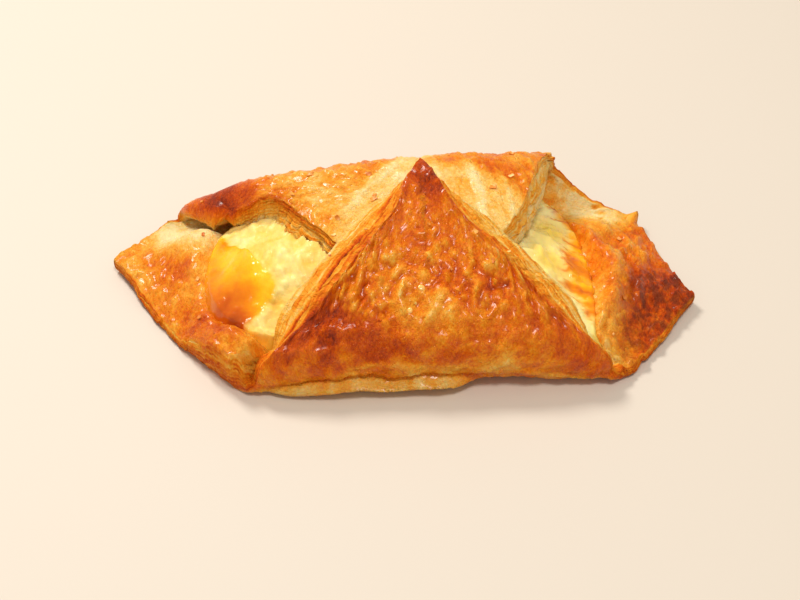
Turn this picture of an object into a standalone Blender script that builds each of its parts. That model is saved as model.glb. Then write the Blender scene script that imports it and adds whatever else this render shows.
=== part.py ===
# Danish pastry: one oblong sheet of laminated dough over a custard filling.
# The left and right corners lie flat. The back corner is folded in over the
# filling, and the front corner is folded over it, so that its tip is the top
# of the pastry. The custard shows in a pocket to the left and to the right.

import bmesh
import bpy
import numpy as np
from mathutils import Vector
from mathutils.bvhtree import BVHTree

MM = 0.001

# The sheet laid flat, seen from above: left, right, front and back corners.
TIP_SPAN = 167.0 * MM
SHEET_DEPTH = 184.0 * MM
SHEET_SKEW = 15.3 * MM
LEFT = np.array([-TIP_SPAN / 2, 0.0])
RIGHT = np.array([TIP_SPAN / 2, 0.0])
FRONT = np.array([SHEET_SKEW, -SHEET_DEPTH / 2])
BACK = np.array([-SHEET_SKEW, SHEET_DEPTH / 2])
SHEET_CELLS = 42

# Thickness of the dough.
UNDER_FILLING = 5.0 * MM
FLAP_DOUGH = 5.5 * MM
CORNER_DOUGH = 3.6 * MM
RIM_EDGE = 3.2 * MM
LAYER_GAP = 0.8 * MM

# Panels outside the filling: their height round the filling, and the tips'.
PANEL_HEIGHT = 12.0 * MM
PANEL_INNER = 46.5 * MM
PANEL_RISE = 12.0 * MM
TIP_LIFT = 1.3 * MM
LIP_PUSH = 3.6 * MM
WALL_LIFT = 6.0 * MM

# Tops of the flaps: the front one is a slope, the back one a ridge from left to right.
FRONT_RISE = [(0.0, 16 * MM), (0.2, 22.5 * MM), (0.38, 27.8 * MM), (0.56, 32.6 * MM),
              (0.75, 36.6 * MM), (1.0, 40 * MM)]
UNDER_FRONT_ROOM = 1.2 * MM
CLIMB = 20 * MM
BACK_RIDGE = [(0.0, 6 * MM), (0.10, 9 * MM), (0.165, 18.5 * MM), (0.28, 26 * MM), (0.42, 29.5 * MM),
              (0.56, 31 * MM), (0.66, 30 * MM), (0.75, 28 * MM), (1.0, 22 * MM)]

# The mound of filling: centre, half sizes and top.
MOUND_CENTRE = np.array([4.0, 2.0]) * MM
MOUND_HALF = np.array([64.0, 47.0]) * MM
MOUND_TOP = 27.0 * MM
CUSTARD_CENTRE = np.array([0.5, -4.0]) * MM
CUSTARD_HALF = np.array([58.0, 32.0]) * MM
CUSTARD_SQUARENESS = 2.8
CUSTARD_SLANT = 0.1
CUSTARD_GAP = 0.5 * MM
CUSTARD_EDGE = 0.9 * MM
PROBE_RINGS = (0.0, 2.0 * MM, 4.5 * MM)
CUSTARD_RINGS = 9
CUSTARD_SPOKES = 48


def ramp(value):
    """Smooth step from 0 to 1."""
    value = np.clip(value, 0.0, 1.0)
    return value * value * (3.0 - 2.0 * value)


def along(stops, place):
    """Smooth curve through (place, value) stops."""
    xs = np.array([stop[0] for stop in stops])
    ys = np.array([stop[1] for stop in stops])
    slopes = np.gradient(ys, xs)
    place = np.clip(place, 0.0, 1.0)
    i = np.clip(np.searchsorted(xs, place, side="right") - 1, 0, len(xs) - 2)
    step = xs[i + 1] - xs[i]
    t = (place - xs[i]) / step
    return ((1 + 2 * t) * (1 - t) ** 2 * ys[i] + step * t * (1 - t) ** 2 * slopes[i]
            + t * t * (3 - 2 * t) * ys[i + 1] + step * t * t * (t - 1) * slopes[i + 1])


def bezier(points, t):
    """Bezier curve in plan, by halving between its points."""
    t = np.asarray(t)[..., None]
    rows = [np.asarray(point) for point in points]
    while len(rows) > 1:
        rows = [(1 - t) * p + t * q for p, q in zip(rows, rows[1:])]
    return rows[0]


def depth_inside(xy, outline):
    """Distance inside a convex outline, negative outside."""
    centre = np.mean(outline, axis=0)
    nearest = None
    for start, end in zip(outline, outline[1:] + outline[:1]):
        normal = np.array([start[1] - end[1], end[0] - start[0]])
        normal = normal / np.linalg.norm(normal)
        if np.dot(centre - start, normal) < 0:
            normal = -normal
        depth = (xy - start) @ normal
        nearest = depth if nearest is None else np.minimum(nearest, depth)
    return nearest


class Fold:
    """A corner of the sheet turned up and over along a line from edge to edge."""

    def __init__(self, shares, corner, left, right, tip, edge_left, edge_right, height, radius, outline):
        self.shares = shares
        self.left, self.right = left, right
        self.tip = np.array(tip) * MM
        along_fold = right - left
        normal = np.array([along_fold[1], -along_fold[0]]) / np.linalg.norm(along_fold)
        if np.dot(corner - left, normal) < 0:
            normal = -normal
        self.outward = normal
        self.reach = np.dot(corner - left, normal)
        self.span = np.dot(left - self.tip, normal)
        self.edge_left = [left] + [np.array(point) * MM for point in edge_left] + [self.tip]
        self.edge_right = [right] + [np.array(point) * MM for point in edge_right] + [self.tip]
        self.height = [(place, value * MM) for place, value in height]
        self.radius = [(place, value * MM) for place, value in radius]
        self.outline = [left] + [np.array(point) * MM for point in outline] + [right]

    def measure(self, a, b):
        """Distance past the fold line, place along it, and the roll's size there."""
        left_share, right_share = self.shares(a, b)
        past = (1.0 - left_share - right_share) * self.reach
        place = right_share / np.maximum(left_share + right_share, 1e-9)
        radius = along(self.radius, place)
        return past, place, radius, along(self.height, place), radius * np.pi / 2


# Where each fold line meets the two edges of its corner, as a share of the edge.
FRONT_ON_LEFT_EDGE = 0.492
FRONT_ON_RIGHT_EDGE = 0.634
BACK_ON_LEFT_EDGE = 0.241
BACK_ON_RIGHT_EDGE = 0.575

FRONT_FOLD = Fold(
    shares=lambda a, b: ((1 - a) / (1 - FRONT_ON_LEFT_EDGE), b / FRONT_ON_RIGHT_EDGE),
    corner=FRONT,
    left=LEFT + FRONT_ON_LEFT_EDGE * (FRONT - LEFT),
    right=FRONT + FRONT_ON_RIGHT_EDGE * (RIGHT - FRONT),
    tip=(5.5, 10.5),
    edge_left=[(-16, -19)],
    edge_right=[(31, -12)],
    height=[(0, 9), (0.12, 13.5), (0.5, 18), (0.88, 14), (1, 9)],
    radius=[(0, 4.5), (0.12, 6.5), (0.5, 9), (0.88, 7), (1, 4.5)],
    outline=[(5.5, 10.5)])

BACK_FOLD = Fold(
    shares=lambda a, b: ((1 - b) / (1 - BACK_ON_LEFT_EDGE), a / BACK_ON_RIGHT_EDGE),
    corner=BACK,
    left=LEFT + BACK_ON_LEFT_EDGE * (BACK - LEFT),
    right=BACK + BACK_ON_RIGHT_EDGE * (RIGHT - BACK),
    tip=(9, -20),
    edge_left=[(-56, 2), (-40, 14), (-22, 2), (-20, -26)],
    edge_right=[(38, 14), (38, -10)],
    height=[(0, 9), (0.1, 18.5), (0.25, 26.5), (0.5, 30.5), (0.85, 31), (1, 28.5)],
    radius=[(0, 4.8), (0.1, 8), (0.25, 10), (0.5, 11), (1, 11)],
    outline=[(-24, -6), (-19, -19), (9, -21), (33, -8)])


def on_sheet(a, b):
    return LEFT + a[..., None] * (FRONT - LEFT) + b[..., None] * (BACK - LEFT)


def base_top(xy):
    """Height of the dough's top outside the flaps and under the filling."""
    out = np.abs(xy[..., 0])
    panel = ramp((out - PANEL_INNER) / PANEL_RISE)
    covered = np.maximum(depth_inside(xy, FRONT_FOLD.outline), depth_inside(xy, BACK_FOLD.outline))
    panel = panel * ramp((2 * MM - covered) / (8 * MM))
    return UNDER_FILLING + (PANEL_HEIGHT - UNDER_FILLING) * panel


def custard_level(xy):
    reach = np.sum(((xy - MOUND_CENTRE) / MOUND_HALF) ** 2, axis=-1)
    return UNDER_FILLING + (MOUND_TOP - UNDER_FILLING) * np.maximum(1 - reach, 0) ** 0.8


def front_flap_top(xy):
    """The front flap climbs steadily from its fold to the apex."""
    travel = (FRONT_FOLD.left - xy) @ FRONT_FOLD.outward / FRONT_FOLD.span
    floor = base_top(xy) + FLAP_DOUGH + LAYER_GAP
    return np.maximum(along(FRONT_RISE, travel), floor)


def back_flap_top(xy):
    """The back flap is a ridge along x, lower to the left, that dips under the front flap."""
    share = (xy[..., 0] + TIP_SPAN / 2) / TIP_SPAN
    forward = np.maximum(18 * MM - xy[..., 1], 0)
    steep = 0.10 + 0.5 * ramp((-xy[..., 0] - 32 * MM) / (22 * MM))
    ridge = along(BACK_RIDGE, share) - steep * forward
    under_front = front_flap_top(xy) - FLAP_DOUGH - LAYER_GAP - UNDER_FRONT_ROOM
    covered = ramp((depth_inside(xy, FRONT_FOLD.outline) + 8 * MM) / (6 * MM))
    tucked = np.minimum(ridge, under_front + (1 - covered) * 20 * MM)
    return np.maximum(tucked, base_top(xy) + FLAP_DOUGH + LAYER_GAP)


def edge_swell(a, b):
    """How far the cut edges of the side panels bulge out in plan."""
    right_back = 8.0 * MM * np.exp(-((a - 0.80) / 0.12) ** 2) * ramp((b - 0.72) / 0.28)
    left_front = 2.5 * MM * np.exp(-((a - 0.25) / 0.13) ** 2) * ramp((0.25 - b) / 0.25)
    return (right_back[..., None] * np.array([0.68, 0.73])
            + left_front[..., None] * np.array([-0.68, -0.73]))


def fold_sheet(a, b):
    """Outer skin of the folded sheet for sheet coordinates a and b."""
    flat = on_sheet(a, b)
    xy = flat + edge_swell(a, b)
    z = TIP_LIFT * ramp((np.abs(flat[..., 0]) - 62 * MM) / (22 * MM))
    for fold, top in ((FRONT_FOLD, front_flap_top), (BACK_FOLD, back_flap_top)):
        past, place, radius, height, half_arc = fold.measure(a, b)
        angle = np.clip(past / half_arc, -1, 1) * np.pi / 2
        inward = radius * (1 - np.cos(angle))
        arc_z = height * (1 + np.sin(angle)) / 2
        settle = (half_arc - radius) * ramp(1 - (-past - half_arc) / (26 * MM))
        outward = np.where(past < -half_arc, settle, np.abs(past) - inward)
        wall = 0.0
        if fold is BACK_FOLD:
            wall = WALL_LIFT * ramp((place - 0.75) / 0.25) * ramp((past + 30 * MM) / (30 * MM))
        base = xy + fold.outward * outward[..., None]
        base_z = z + arc_z + wall * (1 - arc_z / height)
        travel = np.where(past < half_arc, inward, radius + (past - half_arc)
                          * (fold.span - radius) / np.maximum(fold.reach - half_arc, MM))
        travel = np.clip(travel / fold.span, 0, 1)
        share = place[..., None]
        flap = (1 - share) * bezier(fold.edge_left, travel) + share * bezier(fold.edge_right, travel)
        climb = 1 - (1 - np.clip(past / CLIMB, 0, 1)) ** 2
        flap_z = arc_z + (top(flap) - height) * climb
        xy = np.where((past > 0)[..., None], flap, base)
        z = np.where(past > 0, flap_z, base_z)
    return np.concatenate([xy, z[..., None]], axis=-1)


def front_lip(a, b):
    """A puffed layer that pushes out low on the front fold."""
    past, place, radius, height, half_arc = FRONT_FOLD.measure(a, b)
    angle = np.clip(past / half_arc, -1, 1) * np.pi / 2
    window = ramp((place - 0.03) / 0.12) * ramp((0.66 - place) / 0.14)
    push = LIP_PUSH * window * np.exp(-((angle + 0.95) / 0.5) ** 2)
    outward = np.append(FRONT_FOLD.outward, 0.0)
    return push[..., None] * outward


def dough_thickness(a, b):
    flat = on_sheet(a, b)
    side_ab = np.linalg.norm(FRONT - LEFT)
    side_ac = np.linalg.norm(BACK - LEFT)
    to_edge = np.minimum(np.minimum(a, 1 - a) * side_ab, np.minimum(b, 1 - b) * side_ac)
    outer = ramp((np.abs(flat[..., 0]) - PANEL_INNER) / PANEL_RISE)
    rim = ramp((to_edge + 1.5 * MM) / (19 * MM))
    tip = 1 - 0.45 * ramp((np.abs(flat[..., 0]) - 60 * MM) / (20 * MM))
    full = base_top(flat)
    thick = full * (1 - outer) + outer * (RIM_EDGE + (full * tip - RIM_EDGE) * rim)
    for fold in (FRONT_FOLD, BACK_FOLD):
        past, place, radius, height, half_arc = fold.measure(a, b)
        at_end = 1 - ramp(np.minimum(place, 1 - place) / 0.18)
        flap = FLAP_DOUGH + (CORNER_DOUGH - FLAP_DOUGH) * at_end
        turned = ramp((past + half_arc + 9 * MM) / (9 * MM))
        thick = thick * (1 - turned) + np.minimum(flap, 0.85 * radius) * turned
        over = ramp((past - 0.6 * half_arc) / (12 * MM))
        thick = thick * (1 - over) + FLAP_DOUGH * over
    return thick


def new_material(name, colour, roughness):
    material = bpy.data.materials.new(name)
    material.use_nodes = True
    shader = material.node_tree.nodes["Principled BSDF"]
    shader.inputs["Base Color"].default_value = (*colour, 1.0)
    shader.inputs["Roughness"].default_value = roughness
    shader.inputs["Metallic"].default_value = 0.0
    material.diffuse_color = (*colour, 1.0)
    return material


def new_object(name, bm, material, collection, parent):
    mesh = bpy.data.meshes.new(name)
    bm.to_mesh(mesh)
    bm.free()
    mesh.materials.append(material)
    mesh.shade_smooth()
    obj = bpy.data.objects.new(name, mesh)
    obj.parent = parent
    collection.objects.link(obj)
    return obj


def build_pastry(collection, parent):
    """The dough: a flat grid folded in place, then given its thickness."""
    bm = bmesh.new()
    bmesh.ops.create_grid(bm, x_segments=SHEET_CELLS, y_segments=SHEET_CELLS, size=0.5)
    flat = np.array([vert.co for vert in bm.verts])
    a, b = flat[:, 0] + 0.5, flat[:, 1] + 0.5
    for vert, place in zip(bm.verts, fold_sheet(a, b)):
        vert.co = place
    obj = new_object("pastry", bm, new_material("baked_dough", (0.62, 0.27, 0.06), 0.45),
                     collection, parent)
    thickness = dough_thickness(a, b)
    thickest = float(thickness.max())
    group = obj.vertex_groups.new(name="thickness")
    for index, value in enumerate(thickness):
        group.add([index], float(value) / thickest, "REPLACE")
    shell = obj.modifiers.new("dough", "SOLIDIFY")
    shell.thickness = thickest
    shell.offset = 1.0
    shell.vertex_group = group.name
    shell.use_even_offset = False
    bpy.context.view_layer.update()
    thick = bpy.data.meshes.new_from_object(obj.evaluated_get(bpy.context.evaluated_depsgraph_get()))
    outer_skin = len(thick.vertices) - len(a)
    for index, push in enumerate(front_lip(a, b)):
        thick.vertices[outer_skin + index].co += Vector(push)
    obj.modifiers.remove(shell)
    obj.vertex_groups.clear()
    obj.data = thick
    return obj


def crossings(dough, xy):
    """Heights at which a vertical line through xy enters and leaves the dough."""
    heights = []
    start = Vector((xy[0], xy[1], -10 * MM))
    while True:
        hit = dough.ray_cast(start, Vector((0, 0, 1)))[0]
        if hit is None:
            return heights
        heights.append(hit.z)
        start = hit + Vector((0, 0, 0.01 * MM))


def custard_room(dough, xy):
    """Bottom and top of the filling at xy, clear of the dough close by."""
    floors, ceilings = [], [float(custard_level(xy))]
    for distance in PROBE_RINGS:
        for turn in np.arange(8) * np.pi / 4:
            probe = xy + distance * np.array([np.cos(turn), np.sin(turn)])
            heights = crossings(dough, probe)
            if distance < PROBE_RINGS[-1]:
                floors.append(heights[1] if len(heights) > 1 else 0.0)
            if len(heights) > 2:
                ceilings.append(heights[2])
    return max(floors) + CUSTARD_GAP, min(ceilings) - CUSTARD_GAP


def custard_reach(dough, direction):
    """How far the filling goes out along a plan direction before it thins out."""
    outline = np.sum(np.abs(direction / CUSTARD_HALF) ** CUSTARD_SQUARENESS) ** (-1 / CUSTARD_SQUARENESS)
    for share in np.arange(0.5, 1.001, 0.02):
        point = custard_point(direction, share * outline)
        bottom, top = custard_room(dough, point)
        if top - bottom < CUSTARD_EDGE:
            return (share - 0.02) * outline
    return outline


def custard_point(direction, distance):
    offset = direction * distance
    return CUSTARD_CENTRE + offset + np.array([0.0, CUSTARD_SLANT * offset[0]])


def build_custard(pastry, collection, parent):
    """The filling: a ball flattened so that its skins follow the dough below and above."""
    dough = BVHTree.FromObject(pastry, bpy.context.evaluated_depsgraph_get())
    bm = bmesh.new()
    bmesh.ops.create_uvsphere(bm, u_segments=CUSTARD_SPOKES, v_segments=CUSTARD_RINGS * 2, radius=1.0)
    reaches = {}
    for vert in bm.verts:
        polar = np.arccos(np.clip(vert.co.z, -1, 1)) / (np.pi / 2)
        turn = round(float(np.arctan2(vert.co.y, vert.co.x)), 5)
        direction = np.array([np.cos(turn), np.sin(turn)])
        if turn not in reaches:
            reaches[turn] = custard_reach(dough, direction)
        share = min(polar, 2 - polar)
        point = custard_point(direction, share * reaches[turn])
        bottom, top = custard_room(dough, point)
        middle = (bottom + top) / 2
        if abs(polar - 1) < 0.01:
            height = middle
        elif polar < 1:
            height = max(top, middle + CUSTARD_EDGE / 3)
        else:
            height = min(bottom, middle - CUSTARD_EDGE / 3)
        vert.co = (point[0], point[1], height)
    return new_object("custard_filling", bm, new_material("baked_custard", (0.91, 0.68, 0.2), 0.35),
                      collection, parent)


def stand_on_origin(frame, objects):
    """Put the middle of the underside of the whole at the origin."""
    depsgraph = bpy.context.evaluated_depsgraph_get()
    corners = np.array([vert.co for obj in objects
                        for vert in obj.evaluated_get(depsgraph).data.vertices])
    low, high = corners.min(axis=0), corners.max(axis=0)
    frame.location = (-(low[0] + high[0]) / 2, -(low[1] + high[1]) / 2, -low[2])


def main():
    for obj in list(bpy.data.objects):
        bpy.data.objects.remove(obj, do_unlink=True)
    collection = bpy.data.collections.new("danish_pastry")
    bpy.context.scene.collection.children.link(collection)
    frame = bpy.data.objects.new("danish_pastry", None)
    collection.objects.link(frame)
    pastry = build_pastry(collection, frame)
    bpy.context.view_layer.update()
    custard = build_custard(pastry, collection, frame)
    bpy.context.view_layer.update()
    stand_on_origin(frame, [pastry, custard])


main()
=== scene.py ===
import math

import bpy
import numpy as np
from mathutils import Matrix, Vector
from mathutils.bvhtree import BVHTree


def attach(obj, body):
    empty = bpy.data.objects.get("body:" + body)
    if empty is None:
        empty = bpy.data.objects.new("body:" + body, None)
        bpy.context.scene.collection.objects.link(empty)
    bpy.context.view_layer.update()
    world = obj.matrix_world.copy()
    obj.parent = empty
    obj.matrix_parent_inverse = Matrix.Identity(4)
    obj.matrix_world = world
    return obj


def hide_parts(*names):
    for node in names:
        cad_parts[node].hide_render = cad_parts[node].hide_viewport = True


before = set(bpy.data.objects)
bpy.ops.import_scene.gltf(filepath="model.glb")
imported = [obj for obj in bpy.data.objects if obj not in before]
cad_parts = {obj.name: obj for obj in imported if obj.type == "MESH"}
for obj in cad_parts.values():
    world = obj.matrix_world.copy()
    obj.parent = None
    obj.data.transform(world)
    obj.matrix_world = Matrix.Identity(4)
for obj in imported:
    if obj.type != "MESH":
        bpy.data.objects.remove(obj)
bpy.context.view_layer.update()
mm = 0.001
frameShift = np.array([-0.03, 2.88])  # from the middle of the flat sheet to the middle of the box, mm


# Curves and patterns, all in mm

def ramp(value):  # a smooth step from 0 to 1
    value = np.clip(value, 0.0, 1.0)
    return value * value * (3 - 2 * value)


def band(value, low, high, soft):  # 1 between low and high
    return ramp((value - low) / soft + 0.5) * ramp((high - value) / soft + 0.5)


def blend(first, second, share):
    return first * (1 - share) + second * share


def along(stops, place):  # a smooth curve through pairs of place and value
    xs, ys = np.array(stops, float).T
    slopes = np.gradient(ys, xs)
    place = np.clip(place, xs[0], xs[-1])
    i = np.clip(np.searchsorted(xs, place, side="right") - 1, 0, len(xs) - 2)
    step = xs[i + 1] - xs[i]
    t = (place - xs[i]) / step
    return ((1 + 2 * t) * (1 - t) ** 2 * ys[i] + step * t * (1 - t) ** 2 * slopes[i]
            + t * t * (3 - 2 * t) * ys[i + 1] + step * t * t * (t - 1) * slopes[i + 1])


def bezier(points, t):
    rows = [np.asarray(point, float) for point in points]
    t = np.asarray(t)[..., None]
    while len(rows) > 1:
        rows = [blend(p, q, t) for p, q in zip(rows, rows[1:])]
    return rows[0]


def chance(i, j, seed):  # a steady random number for each cell
    value = np.sin(i * 127.1 + j * 311.7 + seed * 74.7) * 43758.5453
    return value - np.floor(value)


def noise(x, y, size, seed):  # smooth noise from 0 to 1
    x, y = x / size, y / size
    i, j = np.floor(x), np.floor(y)
    u, v = x - i, y - j
    u, v = u ** 3 * (u * (6 * u - 15) + 10), v ** 3 * (v * (6 * v - 15) + 10)
    near = blend(chance(i, j, seed), chance(i + 1, j, seed), u)
    far = blend(chance(i, j + 1, seed), chance(i + 1, j + 1, seed), u)
    return blend(near, far, v)


def cloud(x, y, size, seed, octaves=4):  # layers of noise, each one finer, fainter and turned
    value, scale, weight, total = 0, 1.0, 1.0, 0.0
    for octave in range(octaves):
        c, s = math.cos(0.6 * octave), math.sin(0.6 * octave)
        u, v = x * c - y * s, x * s + y * c
        value = value + weight * noise(u + 13.7 * octave, v - 7.1 * octave, size * scale, seed + octave)
        total += weight
        scale, weight = scale * 0.5, weight * 0.55
    return value / total


def ridges(x, y, size, seed, octaves=3):  # sharp crests from 0 to 1
    value, weight, total = 0, 1.0, 0.0
    for octave in range(octaves):
        layer = noise(x + 5.3 * octave, y + 9.1 * octave, size * 0.5 ** octave, seed + 7 * octave)
        value = value + weight * (1 - np.abs(2 * layer - 1)) ** 2
        total, weight = total + weight, weight * 0.5
    return value / total


def bubbles(x, y, size, seed, share):  # oval domes at random places, 0 to 1
    best = np.zeros_like(x)
    i0, j0 = np.floor(x / size), np.floor(y / size)
    for di in (-1, 0, 1):
        for dj in (-1, 0, 1):
            i, j = i0 + di, j0 + dj
            dx = x - (i + chance(i, j, seed)) * size
            dy = y - (j + chance(i, j, seed + 1)) * size
            radius = size * (0.28 + 0.42 * chance(i, j, seed + 2))
            turn = 6.28 * chance(i, j, seed + 3)
            du, dv = dx * np.cos(turn) + dy * np.sin(turn), -dx * np.sin(turn) + dy * np.cos(turn)
            narrow = radius * (0.55 + 0.45 * chance(i, j, seed + 4))
            depth = np.maximum(1 - (du / radius) ** 2 - (dv / narrow) ** 2, 0)
            dome = np.where(chance(i, j, seed + 5) < share, depth ** 0.7, 0)
            best = np.maximum(best, dome * (0.5 + 0.5 * chance(i, j, seed + 6)))
    return best


def spot(x, y, cx, cy, rx, ry, turn=0.0, soft=1.0):  # an oval patch, 1 in its middle
    c, s = math.cos(math.radians(turn)), math.sin(math.radians(turn))
    u, v = ((x - cx) * c + (y - cy) * s) / rx, (-(x - cx) * s + (y - cy) * c) / ry
    return np.exp(-(u * u + v * v) ** soft)


def patches(rows, x, y):  # the sum of oval patches, each row an amount and then what spot takes
    return sum(amount * spot(x, y, *shape) for amount, *shape in rows)


def insideOf(xy, outline):  # depth inside a convex outline
    centre = np.mean(outline, axis=0)
    depths = []
    for start, end in zip(outline, outline[1:] + outline[:1]):
        normal = np.array([start[1] - end[1], end[0] - start[0]])
        normal = normal / np.linalg.norm(normal)
        if np.dot(centre - start, normal) < 0:
            normal = -normal
        depths.append((xy - start) @ normal)
    return np.min(depths, axis=0)


# Shader helpers

class Maths:  # a socket that can be added, taken away and multiplied
    def __init__(self, shader, socket):
        self.shader, self.socket = shader, socket

    def maths(self, operation, first, second=None, clamp=False):
        values = {0: first} if second is None else {0: first, 1: second}
        node = self.shader.node("ShaderNodeMath", {"operation": operation, "use_clamp": clamp}, values)
        return Maths(self.shader, node.outputs[0])

    def __add__(self, other): return self.maths("ADD", self, other)
    def __radd__(self, other): return self.maths("ADD", other, self)
    def __sub__(self, other): return self.maths("SUBTRACT", self, other)
    def __rsub__(self, other): return self.maths("SUBTRACT", other, self)
    def __mul__(self, other): return self.maths("MULTIPLY", self, other)
    def __rmul__(self, other): return self.maths("MULTIPLY", other, self)
    def __abs__(self): return self.maths("ABSOLUTE", self)
    def clamp(self): return self.maths("ADD", self, 0.0, clamp=True)

    def step(self, low, high):
        return self.maths("MULTIPLY", self - low, 1 / (high - low), clamp=True)


class Shader:
    def __init__(self, name):
        self.material = bpy.data.materials.new(name)
        self.material.use_nodes = True
        self.tree = self.material.node_tree
        self.surface = self.tree.nodes["Principled BSDF"]

    def node(self, kind, settings=None, sockets=None):
        node = self.tree.nodes.new(kind)
        for key, value in (settings or {}).items():
            if key == "stops":
                elements = node.color_ramp.elements
                while len(elements) < len(value):
                    elements.new(0.5)
                for element, (place, colour) in zip(elements, value):
                    element.position, element.color = place, fourOf(colour)
            else:
                setattr(node, key, value)
        for key, value in (sockets or {}).items():
            self.feed(node.inputs[key], value)
        return node

    def feed(self, socket, value):
        if isinstance(value, Maths):
            value = value.socket
        if isinstance(value, bpy.types.NodeSocket):
            self.tree.links.new(value, socket)
        else:
            socket.default_value = value

    def setAll(self, values):
        for key, value in values.items():
            self.feed(self.surface.inputs[key], value)

    def attribute(self, name, output="Fac"):
        made = self.node("ShaderNodeAttribute", {"attribute_name": name}).outputs[output]
        return Maths(self, made)

    def noise(self, vector, scale, detail=2.0, rough=0.5, distortion=0.0):
        made = self.node("ShaderNodeTexNoise", {"noise_dimensions": "3D"}, {
            "Vector": vector, "Scale": scale, "Detail": detail, "Roughness": rough, "Distortion": distortion})
        return Maths(self, made.outputs["Fac"])

    def colours(self, stops, factor):
        return self.node("ShaderNodeValToRGB", {"stops": stops}, {"Fac": factor}).outputs["Color"]

    def mix(self, factor, first, second):
        return self.node("ShaderNodeMix", {"data_type": "RGBA"}, {0: factor, 6: first, 7: second}).outputs[2]

    def bump(self, height, strength, distance):
        made = self.node("ShaderNodeBump", {}, {"Height": height, "Strength": strength, "Distance": distance})
        self.setAll({"Normal": made.outputs["Normal"]})


def fourOf(colour):  # a linear colour from a screen colour of 0 to 255
    shares = [c / 255 for c in colour]
    return (*[c / 12.92 if c <= 0.04045 else ((c + 0.055) / 1.055) ** 2.4 for c in shares], 1.0)


# Mesh helpers

def enter(mode):
    bpy.ops.object.mode_set(mode=mode)


def applyTransform():
    bpy.ops.object.transform_apply(location=True, rotation=True, scale=True)


def deselect():
    bpy.ops.object.select_all(action="DESELECT")


def choose(*pieces):  # the first one becomes active
    deselect()
    for piece in pieces:
        piece.select_set(True)
    bpy.context.view_layer.objects.active = pieces[0]


def keepAs(name, material):  # names the active object and gives it its finish
    piece = bpy.context.object
    piece.name = name
    piece.data.name = name
    piece.data.materials.clear()
    piece.data.materials.append(material)
    return piece


def finishPiece(piece, sharpAngle):  # smooth shading, broken at sharp edges
    piece.data.update()
    choose(piece)
    bpy.ops.object.shade_smooth_by_angle(angle=math.radians(sharpAngle))
    print(piece.name, len(piece.data.polygons), "faces")
    return piece


def thicken(piece, thickness, offset):
    solid = piece.modifiers.new("solid", "SOLIDIFY")
    solid.thickness, solid.offset = thickness, offset
    bpy.ops.object.modifier_apply(modifier=solid.name)


def coordinates(mesh):
    flat = np.empty(len(mesh.vertices) * 3)
    mesh.vertices.foreach_get("co", flat)
    return flat.reshape(-1, 3)


def paint(mesh, name, values):  # a number or a vector for each vertex
    vector = np.ndim(values) == 2
    made = mesh.attributes.new(name, "FLOAT_VECTOR" if vector else "FLOAT", "POINT")
    made.data.foreach_set("vector" if vector else "value", np.asarray(values, np.float32).ravel())


def surfaceTree(piece):
    return BVHTree.FromObject(piece, bpy.context.evaluated_depsgraph_get())


# The folded sheet of dough. A place on the sheet is a along its long side and b along its short one,
# both from 0 to 1, starting at the left corner. c goes through it, from the outer to the inner skin.

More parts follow.
